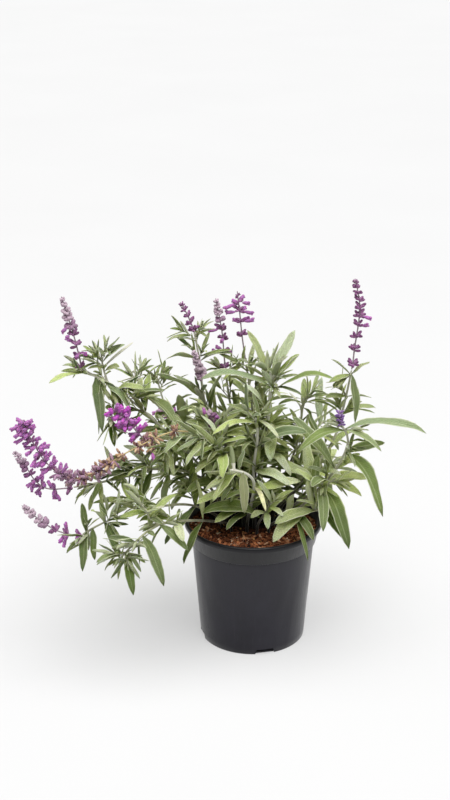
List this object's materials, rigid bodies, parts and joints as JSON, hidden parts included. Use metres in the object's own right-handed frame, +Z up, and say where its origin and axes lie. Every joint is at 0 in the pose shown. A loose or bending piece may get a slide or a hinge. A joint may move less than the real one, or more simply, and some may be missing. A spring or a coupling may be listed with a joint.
{
  "type": "potted mexican bush sage",
  "caption": "Bushy flowering sage with arching stems, narrow grey-green leaves and woolly purple spikes, in a tapered black nursery pot.",
  "frame": {"origin": "centre of the pot's flat underside, on the surface it stands on", "axes": "+Z up along the pot's axis; -Y towards the side the plant is looked at from; +X to the right of that view"},
  "size_m": [0.4906, 0.2981, 0.4582],
  "materials": {
    "pot": "moulded black plastic, satin",
    "potting_mix": "coarse coir and bark",
    "stem_and_leaf": "felted grey-green leaves on pale woolly stems",
    "flower_spike": "velvety purple calyces with violet corollas"
  },
  "bodies": {
    "root": {"leafy_stem_arching": "stem_and_leaf", "leafy_stem_back": "stem_and_leaf", "leafy_stem_back_left": "stem_and_leaf", "leafy_stem_back_low_left": "stem_and_leaf", "leafy_stem_back_low_right": "stem_and_leaf", "leafy_stem_back_right": "stem_and_leaf", "leafy_stem_centre_front": "stem_and_leaf", "leafy_stem_centre_tall": "stem_and_leaf", "leafy_stem_front_left": "stem_and_leaf", "leafy_stem_front_right": "stem_and_leaf", "leafy_stem_left_back": "stem_and_leaf", "leafy_stem_left_mid": "stem_and_leaf", "leafy_stem_low_front": "stem_and_leaf", "leafy_stem_lower_left": "stem_and_leaf", "leafy_stem_mid_right": "stem_and_leaf", "leafy_stem_nodding": "stem_and_leaf", "leafy_stem_right_front": "stem_and_leaf", "leafy_stem_right_low": "stem_and_leaf", "leafy_stem_right_tall": "stem_and_leaf", "leafy_stem_second_cluster": "stem_and_leaf", "leafy_stem_small_spike": "stem_and_leaf", "leafy_stem_top_left": "stem_and_leaf", "leafy_stem_top_spike_a": "stem_and_leaf", "leafy_stem_top_spike_b": "stem_and_leaf", "leafy_stem_upper_left": "stem_and_leaf", "pot": "pot", "potting_mix": "potting_mix", "spike_arching": "flower_spike", "spike_back_left": "flower_spike", "spike_left_mid": "flower_spike", "spike_lower_left": "flower_spike", "spike_right_front": "flower_spike", "spike_right_tall": "flower_spike", "spike_second_cluster": "flower_spike", "spike_small_spike": "flower_spike", "spike_top_left": "flower_spike", "spike_top_left_side": "flower_spike", "spike_top_spike_a": "flower_spike", "spike_top_spike_b": "flower_spike", "spike_upper_left": "flower_spike"}
  },
  "joints": []
}
